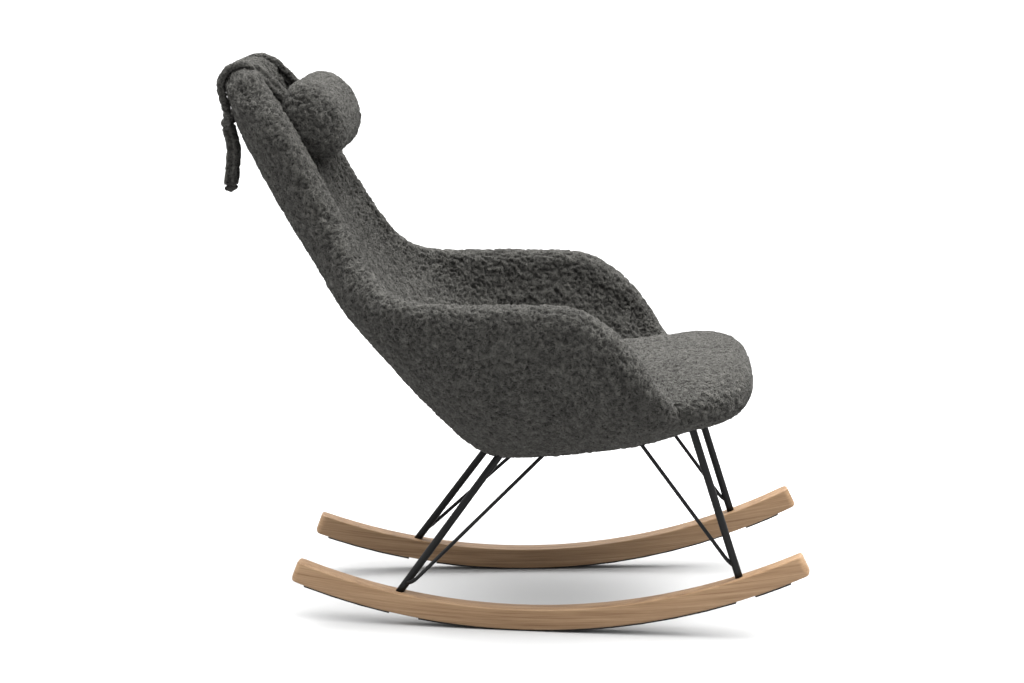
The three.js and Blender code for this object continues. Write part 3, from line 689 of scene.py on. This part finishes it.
def knot(name, centre, radii, body):
    """A small knot: three turns of the band wrapped over each other."""
    vertices, faces = [], []
    for tilt, spin, size in KNOT_TURNS:
        turn = Matrix.Rotation(tilt, 3, "Y") @ Matrix.Rotation(spin, 3, "X")
        base = len(vertices)
        for i in range(KNOT_RING):
            a = 2 * math.pi * i / KNOT_RING
            for j in range(KNOT_SIDES):
                b = 2 * math.pi * j / KNOT_SIDES
                reach = KNOT_REACH + KNOT_PLUMP * math.cos(b)
                p = Vector((reach * math.cos(a), reach * math.sin(a), 0.5 * math.sin(b)))
                p = turn @ (p * size)
                limit = max(1.0, p.length)
                vertices.append(Vector([c / limit for c in p]))
        for i in range(KNOT_RING):
            for j in range(KNOT_SIDES):
                a = base + i * KNOT_SIDES
                b = base + ((i + 1) % KNOT_RING) * KNOT_SIDES
                k = (j + 1) % KNOT_SIDES
                faces.append((a + j, b + j, b + k, a + k))
    middle = drawn(*centre)
    vertices = [middle + Vector([c * r * MM for c, r in zip(v, radii)]) for v in vertices]
    piece = new_piece(name, vertices, faces, "boucle")
    tidy_mesh(piece)
    remesh(piece, min(radii) * MM / 5)
    relax(piece, 2)
    raise_loops(piece, TIE_LOOPS * 0.9)
    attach(piece, body)
    return piece


def make_ties():
    knot_piece = knot("knot_behind_back", KNOT_CENTRE, KNOT_RADII, "chair")
    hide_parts("tie_knot")
    for side in SIDES:
        line = smooth_line(tie_route(side), TIE_STEP)
        vertices, faces = sweep(line, tie_facing, band_profile())
        tie = new_piece(f"tie_{side}", vertices, faces, "boucle")
        tidy_mesh(tie)
        raise_loops(tie, TIE_LOOPS)
        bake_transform(tie)
        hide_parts(f"tie_front_{side}", f"tie_back_{side}", f"tie_tail_{side}")
        end = line[-1] / MM
        centre = (end[0], end[1] - ORIGIN_FRONT, TAIL_END_Z)
        end_piece = knot(f"tail_knot_{side}", centre, TAIL_END_RADII, "chair")
        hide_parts(f"tie_end_{side}")


make_ties()


# ---- the padded shell ----
# Each station is a cross-section of the shell's middle surface from its centre (y, z) out to the
# rim (x, y, z), with the degrees its curve turns through, how boxy it is, and the half thickness
# of the padding at the centre and at the rim.
STATIONS = [
    ((507, 1020), (150, 490, 990), 62, 2.0, (34, 34)),
    ((485, 925), (184, 424, 940), 62, 2.0, (34, 32)),
    ((440, 830), (200, 370, 850), 62, 2.0, (34, 31)),
    ((395, 750), (211, 322, 762), 64, 2.0, (33, 31)),
    ((345, 672), (238, 279, 690), 70, 2.1, (32, 30)),
    ((290, 584), (280, 238, 643), 78, 2.2, (30, 29)),
    ((217, 499), (312, 190, 623), 86, 2.3, (27, 28)),
    ((128, 397), (325, 100, 620), 90, 2.4, (26, 28)),
    ((43, 320), (326, -20, 620), 90, 2.4, (24, 30)),
    ((-50, 317), (322, -125, 611), 90, 2.4, (24, 31)),
    ((-135, 330), (335, -205, 556), 90, 2.4, (23, 33)),
    ((-215, 348), (343, -250, 498), 88, 2.4, (22, 32)),
    ((-300, 375), (323, -282, 451), 80, 2.3, (23, 24)),
    ((-398, 409), (287, -322, 417), 62, 2.2, (22, 21)),
]
BACK_CROWN = 5  # how much fuller the back's inner padding is, at the top of the back
BACK_STATIONS = 5  # the crown has faded out at this station
EDGE = 30  # width of the strip along the rim where the mesh is closer
EDGE_TURN = 18  # degrees of rounding between the rows of that strip
HALF_SECTION = 430  # the mesh's columns are counted for half a section of this length
SHELL_STEP = 10  # spacing of the shell's mesh before it is subdivided
SHELL_ROOM = 2.5  # the padding starts this much thinner, and swells
SHELL_SWELL = 0.0035
SHELL_LOOPS = 0.0076
FINE_ALONG, FINE_ACROSS = 1200, 241  # points that the shell's curves are measured with


def spline_at(points, places):
    """A smooth curve through points, read at places from 0 to the number of its last point."""
    lined = np.array(points, float)
    lined = np.vstack([2 * lined[0] - lined[1], lined, 2 * lined[-1] - lined[-2]])
    spans = np.maximum(np.linalg.norm(np.diff(lined, axis=0), axis=1), 1e-9) ** 0.5
    i = np.clip(np.floor(places).astype(int), 0, len(points) - 2)
    t = (places - i)[:, None]
    a, b, c, d = (lined[i + k] for k in range(4))
    return between(a, b, c, d, [spans[i + k][:, None] for k in range(3)], t)


def from_edge(length, steps):
    """Distances from an edge, closer together where it is rounded, to the far side."""
    rounded = [EDGE * (1 - math.cos(math.radians(a))) for a in range(0, 90, EDGE_TURN)]
    return np.array(rounded + list(np.linspace(EDGE, length, steps + 1)))


def station_values(pick, places):
    return np.interp(places, range(len(STATIONS)), [pick(s) for s in STATIONS])


def shell_grid():
    """Points of the shell's middle surface in rows from the top of the back to the front of the
    seat, with each point's distance from the ends, from the rim, and share of the way across."""
    fine = np.linspace(0, len(STATIONS) - 1, FINE_ALONG)
    along = distances_along(spline_at([(0, *s[0]) for s in STATIONS], fine))
    length = along[-1]
    near = from_edge(length / 2, round((length / 2 - EDGE) / SHELL_STEP))
    distances = np.concatenate([near, length - near[::-1][1:]])
    places = np.interp(distances, along, fine)
    centres = spline_at([(0, *s[0]) for s in STATIONS], places)
    rims = spline_at([s[1] for s in STATIONS], places)
    sweeps = np.radians(station_values(lambda s: s[2], places))
    powers = 2 / station_values(lambda s: s[3], places)
    steps = round((HALF_SECTION - EDGE) / SHELL_STEP)
    rows, rim_distances, shares = [], [], []
    angles = np.linspace(0, 1, FINE_ACROSS)
    for centre, rim, turn, power in zip(centres, rims, sweeps, powers):
        out = np.sin(angles * turn) ** power
        rise = 1 - np.maximum(np.cos(angles * turn), 0) ** power
        out, rise = out / out[-1], rise / rise[-1]
        half = np.stack([rim[0] * out, centre[1] + (rim[1] - centre[1]) * rise,
                         centre[2] + (rim[2] - centre[2]) * rise], axis=1)
        reach = distances_along(half)
        from_rim = from_edge(reach[-1], steps)[::-1]
        wanted = reach[-1] - from_rim
        side = np.stack([np.interp(wanted, reach, half[:, k]) for k in range(3)], axis=1)
        rows.append(np.vstack([side[:0:-1] * (-1, 1, 1), side]))
        rim_distances.append(np.concatenate([from_rim[:0:-1], from_rim]))
        share = wanted / reach[-1]
        shares.append(np.concatenate([share[:0:-1], share]))
    ends = np.minimum(distances, length - distances)
    return np.array(rows), places, ends[:, None], np.array(rim_distances), np.array(shares)


def rounding(distance, radius):
    """Share of the full thickness at a distance from a rounded edge."""
    return np.sqrt(np.clip(1 - np.clip(1 - distance / radius, 0, 1) ** 2, 0, 1))


def shell_layers():
    """The outer and inner faces of the padded shell, and the middle surface, as grids."""
    grid, places, from_end, from_rim, share = shell_grid()
    down = np.gradient(grid, axis=0)
    across = np.gradient(grid, axis=1)
    inward = -np.cross(across, down)
    inward /= np.linalg.norm(inward, axis=2, keepdims=True)
    pad_middle = station_values(lambda s: s[4][0], places)[:, None]
    pad_rim = station_values(lambda s: s[4][1], places)[:, None]
    pad = pad_middle + (pad_rim - pad_middle) * share ** 2
    edge = rounding(from_end, pad) * rounding(from_rim, pad)
    fade = np.maximum(0, 1 - places / BACK_STATIONS)[:, None]
    crown = BACK_CROWN * np.sqrt(fade) * (1 - share ** 2)
    thick = pad - SHELL_ROOM
    outer = grid - inward * (thick * edge)[:, :, None]
    inner = grid + inward * ((thick + crown) * edge)[:, :, None]
    return outer, inner, grid


def to_frame(grid):
    """A grid of the drawing's points as a list of points in the frame."""
    return (grid.reshape(-1, 3) + (0, ORIGIN_FRONT, 0)) * MM


def grid_faces(rows, columns, base=0, flip=False):
    faces = []
    for i in range(rows - 1):
        for j in range(columns - 1):
            a = base + i * columns + j
            face = (a, a + 1, a + columns + 1, a + columns)
            faces.append(face[::-1] if flip else face)
    return faces


def make_shell():
    """The whole padded cover as one closed skin. Gives back its middle surface."""
    outer, inner, middle = shell_layers()
    rows, columns = outer.shape[:2]
    vertices = np.vstack([to_frame(outer), to_frame(inner)])
    faces = grid_faces(rows, columns) + grid_faces(rows, columns, rows * columns, flip=True)
    shell = new_piece("shell_upholstery", vertices, faces, "boucle")
    tidy_mesh(shell, merge=1e-5)
    inflate(shell, cap=SHELL_SWELL)
    subdivide(shell, 2)
    raise_loops(shell, SHELL_LOOPS)
    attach(shell, "chair")
    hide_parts("outer_upholstery", "inner_upholstery")
    return BVHTree.FromPolygons([tuple(p) for p in to_frame(middle)], grid_faces(rows, columns))


# ---- seat cushion ----
# half lengths and widths; z and half, its half thickness, are at y 0 and grow towards the front
SEAT = {"y": -108, "z": 395, "rise": 0.108, "length": 335, "width": 304, "half": 53.5,
        "thicken": 0.022, "crown": 14}
SEAT_POWER = 2 / 3  # the smaller these two, the boxier its upright section
SEAT_PLAN_POWER = 0.54  # and its outline seen from above
SEAT_AROUND, SEAT_UP = 120, 60
SEAT_VOXEL = 0.0095
SEAT_ROOM = 4  # the cushion starts this much smaller all round, and swells
SEAT_SWELL = 0.0065
SEAT_FLARE_FROM = -222  # the cushion widens from here forwards, past the ends of the arms
SEAT_FLARE_OVER = 85
SEAT_FLARE = 0.11
SEAT_TUCK_FRONT = -0.29  # behind this line the cushion's underside is tucked into the shell
SEAT_TUCK = 0.006  # and stays this far above the shell's middle surface
SHELL_FLOOR = 0.45  # metres: below this the shell's inner side faces up, above it inwards


def seat_vertices():
    """The cushion as a boxy crowned form that widens past the arms, in rings from below."""
    vertices = []
    for i in range(SEAT_UP + 1):
        tilt = (i / SEAT_UP - 0.5) * math.pi
        reach = max(math.cos(tilt), 0) ** SEAT_POWER
        width = (SEAT["width"] - SEAT_ROOM) * reach
        length = (SEAT["length"] - SEAT_ROOM) * reach
        for j in range(SEAT_AROUND):
            turn = 2 * math.pi * j / SEAT_AROUND
            x = width * signed_power(math.cos(turn), SEAT_PLAN_POWER)
            y = SEAT["y"] + length * signed_power(math.sin(turn), SEAT_PLAN_POWER)
            past_arms = min(max((SEAT_FLARE_FROM - y) / SEAT_FLARE_OVER, 0), 1)
            x *= 1 + SEAT_FLARE * past_arms ** 2 * (3 - 2 * past_arms)
            half = SEAT["half"] - SEAT["thicken"] * y - SEAT_ROOM
            fall = max(math.sin(tilt), 0) * SEAT["crown"] * (x / SEAT["width"]) ** 2
            middle = SEAT["z"] - SEAT["rise"] * y
            vertices.append(drawn(x, y, middle + half * signed_power(math.sin(tilt), SEAT_POWER) - fall))
    return vertices


def tuck(seat, shell_middle):
    """Keeps the cushion's underside on the shell's inner side. Gives back what is held there."""
    points = positions(seat)
    held = np.zeros(len(points))
    for i, point in enumerate(points):
        near, normal, _, _ = shell_middle.find_nearest(Vector(point))
        inwards = Vector((0, -0.3, 1)) if near.z < SHELL_FLOOR else Vector((-near.x, -0.3, 0.3))
        if normal.dot(inwards) < 0:
            normal = -normal
        depth = (Vector(point) - near).dot(normal)
        if point[1] > SEAT_TUCK_FRONT and depth < SEAT_TUCK:
            points[i] = near + normal * SEAT_TUCK
            held[i] = 1
    set_positions(seat, points)
    return held


def make_seat(shell_middle):
    seat = new_piece("seat_pad", seat_vertices(), tube_faces(SEAT_UP + 1, SEAT_AROUND), "boucle")
    tidy_mesh(seat, merge=1e-5)
    remesh(seat, SEAT_VOXEL)
    held = tuck(seat, shell_middle)
    relax(seat, 3)
    inflate(seat, cap=SEAT_SWELL, held=held)
    subdivide(seat, 2)
    raise_loops(seat, SHELL_LOOPS)
    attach(seat, "chair")
    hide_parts("seat_cushion")


# ---- neck pillow ----
# half is half its length, along and deep are its section's two radii, and its ends round off over
# `end` with a power of `plump`
PILLOW = {"y": 362, "z": 916.5, "half": 155, "along": 74, "deep": 54, "lean": 26.5, "end": 46,
          "plump": 2.4}
PILLOW_SIDES = 64
PILLOW_END_RINGS = 16
PILLOW_VOXEL = 0.0055
PILLOW_ROOM = 1.5
PILLOW_SWELL = 0.008


def make_pillow():
    lean = math.radians(PILLOW["lean"])
    up_back = Vector((0, math.sin(lean), math.cos(lean)))
    out = up_back.cross(Vector((1, 0, 0)))
    centre = drawn(0, PILLOW["y"], PILLOW["z"])
    straight = PILLOW["half"] - PILLOW["end"]
    rings = []
    for k in range(PILLOW_END_RINGS + 1):
        f = math.sin(math.pi / 2 * (1 - k / PILLOW_END_RINGS))
        radius = (1 - f ** PILLOW["plump"]) ** (1 / PILLOW["plump"])
        rings.append((-(straight + f * PILLOW["end"]), radius))
    outline = rings + [(-x, r) for x, r in reversed(rings)]
    vertices = []
    for x, radius in outline:
        for j in range(PILLOW_SIDES):
            angle = 2 * math.pi * j / PILLOW_SIDES
            u = (PILLOW["along"] - PILLOW_ROOM) * radius * math.cos(angle)
            v = (PILLOW["deep"] - PILLOW_ROOM) * radius * math.sin(angle)
            span = x * (1 - PILLOW_ROOM / PILLOW["half"])
            vertices.append(centre + Vector((span * MM, 0, 0)) + (up_back * u + out * v) * MM)
    faces = tube_faces(len(outline), PILLOW_SIDES)
    pillow = new_piece("headrest_pillow", vertices, faces, "boucle")
    tidy_mesh(pillow, merge=1e-5)
    remesh(pillow, PILLOW_VOXEL)
    relax(pillow, 3)
    inflate(pillow, cap=PILLOW_SWELL)
    subdivide(pillow, 1)
    raise_loops(pillow, SHELL_LOOPS)
    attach(pillow, "pillow")
    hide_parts("neck_pillow")


make_seat(make_shell())
make_pillow()


# ---- rockers ----
# toe, rear and front are degrees; the three rounds are those of its ends
ROCKER = {"radius": 1195, "height": 38, "width": 36, "low_y": -10, "x": 203.5, "toe": 4.86,
          "rear": 20.2, "front": 25.9, "top_round": 4, "bottom_round": 7, "plan_round": 12,
          "edge": 2.5}
FELT_THICK = 4
FELT_FLAT = 2.54  # the chair rests on a flat this many degrees each way from the lowest point
ARC_CENTRE = (ROCKER["radius"] + FELT_THICK) * math.cos(math.radians(FELT_FLAT))
ROCKER_STEPS = 120
END_STEPS = 10
EDGE_STEPS = 4
GRAIN_BEND = 0.45  # the grain follows this share of the rocker's curve
GRAIN_SHIFT = (0.37, 0.11, 0.05)  # so the two rockers don't show the same figure


def rocker_frame(sign):
    toe = math.radians(ROCKER["toe"])
    turn = Matrix.Rotation(sign * toe, 4, "Z")
    place = drawn(sign * (ROCKER["x"] - ROCKER["low_y"] * math.tan(toe)), ROCKER["low_y"], 0)
    return Matrix.Translation(place) @ turn


def rocker_section(half_width, bottom, top, edge):
    """A rounded rectangle as (across, radius), anticlockwise."""
    points = []
    r = min(edge, half_width * 0.95, (bottom - top) * 0.45)
    for cx, cr, start in ((half_width - r, top + r, 0), (-half_width + r, top + r, 90),
                          (-half_width + r, bottom - r, 180), (half_width - r, bottom - r, 270)):
        for k in range(EDGE_STEPS + 1):
            angle = math.radians(start + k * 90 / EDGE_STEPS)
            points.append((cx + r * math.cos(angle), cr - r * math.sin(angle)))
    return points


def make_rocker(side):
    """A bent wooden bar with every edge eased and both ends rounded."""
    R, height, half = ROCKER["radius"], ROCKER["height"], ROCKER["width"] / 2
    reach_front = math.radians(ROCKER["front"]) * R + ROCKER["bottom_round"]
    reach_rear = math.radians(ROCKER["rear"]) * R + ROCKER["bottom_round"]
    end = ROCKER["plan_round"]
    eased = [end * (1 - math.cos(math.pi / 2 * k / END_STEPS)) for k in range(END_STEPS)]
    ends_front = [-reach_front + d for d in eased]
    ends_rear = [reach_rear - d for d in reversed(eased)]
    middle = np.linspace(-reach_front + end, reach_rear - end, ROCKER_STEPS)
    line = ends_front + list(middle) + ends_rear
    vertices, grain = [], []
    for s in line:
        inset = min(s + reach_front, reach_rear - s)

        def eased_by(radius):
            return radius - math.sqrt(max(0, radius ** 2 - max(0, radius - inset) ** 2))

        section = rocker_section(half - eased_by(ROCKER["plan_round"]) * 0.98,
                                 R - eased_by(ROCKER["bottom_round"]),
                                 R - height + eased_by(ROCKER["top_round"]), ROCKER["edge"])
        angle = s / R
        for across, radius in section:
            y, z = radius * math.sin(angle), ARC_CENTRE - radius * math.cos(angle)
            vertices.append(Vector((across * MM, y * MM, z * MM)))
            rise = R * (1 - math.cos(angle))
            grain.append((y * MM, across * MM, (z - rise * GRAIN_BEND) * MM))
    count = len(section)
    faces = tube_faces(len(line), count)
    faces.append(tuple(range(count)))
    faces.append(tuple(range((len(line) - 1) * count, len(line) * count)))
    sign = SIDES[side]
    place = rocker_frame(sign)
    rocker = new_piece(f"oak_rocker_{side}", [place @ v for v in vertices], faces, "rocker_wood")
    attribute = rocker.data.attributes.new("grain", "FLOAT_VECTOR", "POINT")
    shifted = np.array(grain) + sign * np.array(GRAIN_SHIFT)
    attribute.data.foreach_set("vector", shifted.astype(np.float32).ravel())
    tidy_mesh(rocker, merge=None)
    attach(rocker, "chair")
    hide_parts(f"rocker_{side}")


# ---- legs and brace rods ----
CORNERS = {
    "rear": {"foot_y": 207, "top": (151, 30, 305),
             "bend": (203, 183, 82), "rod_top": (140, -56, 312)},
    "front": {"foot_y": -409, "top": (238, -332, 352),
              "bend": (237, -391, 138), "rod_top": (236, -238, 345)},
}
LEG_RADIUS = 7
LEG_SIDES = 32
LEG_STEPS = 24
FOOT_GAP = 0.3  # between the foot and the wood
ROD_RADIUS = 3.5
ROD_SIDES = 20
ROD_DROP = 10  # the rod meets its leg this far below its bend
ROD_BEND = 16  # and is straight from this far above it
ROD_BEND_STEPS = 14
ROD_STEPS = 30
LEG_EXTRA = 42  # the legs and rods run on this far into the padding


def footing(sign, foot_y):
    """Where a leg stands on the rocker's upper face, and that face's direction there."""
    top_radius = ROCKER["radius"] - ROCKER["height"]
    along = (foot_y - ROCKER["low_y"]) / math.cos(math.radians(ROCKER["toe"]))
    angle = math.asin(along / top_radius)
    place = rocker_frame(sign)
    y, z = top_radius * math.sin(angle), ARC_CENTRE - top_radius * math.cos(angle)
    up = place.to_3x3() @ Vector((0, -math.sin(angle), math.cos(angle)))
    return place @ Vector((0, y * MM, z * MM)), up


def circle(radius, sides):
    turns = [2 * math.pi * k / sides for k in range(sides)]
    return [(radius * MM * math.cos(turn), radius * MM * math.sin(turn)) for turn in turns]


def sideways(_point):
    return Vector((1, 0, 0))


def make_corner(end, side):
    """A leg cut to the rocker's curve, and its brace rod, which bends in beside it near the foot."""
    sign = SIDES[side]
    corner = CORNERS[end]
    foot, up = footing(sign, corner["foot_y"])
    top = drawn(sign * corner["top"][0], *corner["top"][1:])
    axis = (top - foot).normalized()
    label = f"{end}_{side}"
    length = (top - foot).length + LEG_EXTRA * MM
    line = np.array([tuple(foot + axis * (length * k / LEG_STEPS)) for k in range(LEG_STEPS + 1)])
    vertices, faces = sweep(line, sideways, circle(LEG_RADIUS, LEG_SIDES))
    for i in range(LEG_SIDES):
        drop = (vertices[i] - foot - up * (FOOT_GAP * MM)).dot(up) / axis.dot(up)
        vertices[i] = vertices[i] - axis * drop
    leg = new_piece(f"steel_leg_{label}", vertices, faces, "black_metal")
    tidy_mesh(leg)
    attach(leg, "chair")
    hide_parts(f"leg_{label}")

    bend = drawn(sign * corner["bend"][0], *corner["bend"][1:])
    rod_top = drawn(sign * corner["rod_top"][0], *corner["rod_top"][1:])
    rise = (rod_top - bend).normalized()
    start = foot + axis * ((bend - foot).dot(axis) - ROD_DROP * MM)
    straight = bend + rise * (ROD_BEND * MM)
    rod_end = rod_top + rise * (LEG_EXTRA * MM)
    shares = [k / ROD_BEND_STEPS for k in range(ROD_BEND_STEPS + 1)]
    curve = [start.lerp(bend, t).lerp(bend.lerp(straight, t), t) for t in shares]
    run = [straight.lerp(rod_end, k / ROD_STEPS) for k in range(1, ROD_STEPS + 1)]
    rod_line = np.array([tuple(p) for p in curve + run])
    vertices, faces = sweep(rod_line, sideways, circle(ROD_RADIUS, ROD_SIDES))
    rod = new_piece(f"steel_rod_{label}", vertices, faces, "black_metal")
    tidy_mesh(rod)
    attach(rod, "chair")
    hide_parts(f"brace_rod_{label}")


for side_name in SIDES:
    make_rocker(side_name)
    for end_name in CORNERS:
        make_corner(end_name, side_name)


# ---- materials for the frame's own nodes ----
NODE_SLOTS = (("felt_", "felt"), ("mount_plate", "black_metal"), ("plate_bolt", "black_metal"),
              ("tee_nut", "zinc"), ("leg_insert", "zinc"), ("leg_screw", "zinc"),
              ("shell_core", "plywood"))
for name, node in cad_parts.items():
    for start, slot in NODE_SLOTS:
        if name.startswith(start):
            node.data.materials.clear()
            node.data.materials.append(MATERIALS[slot])
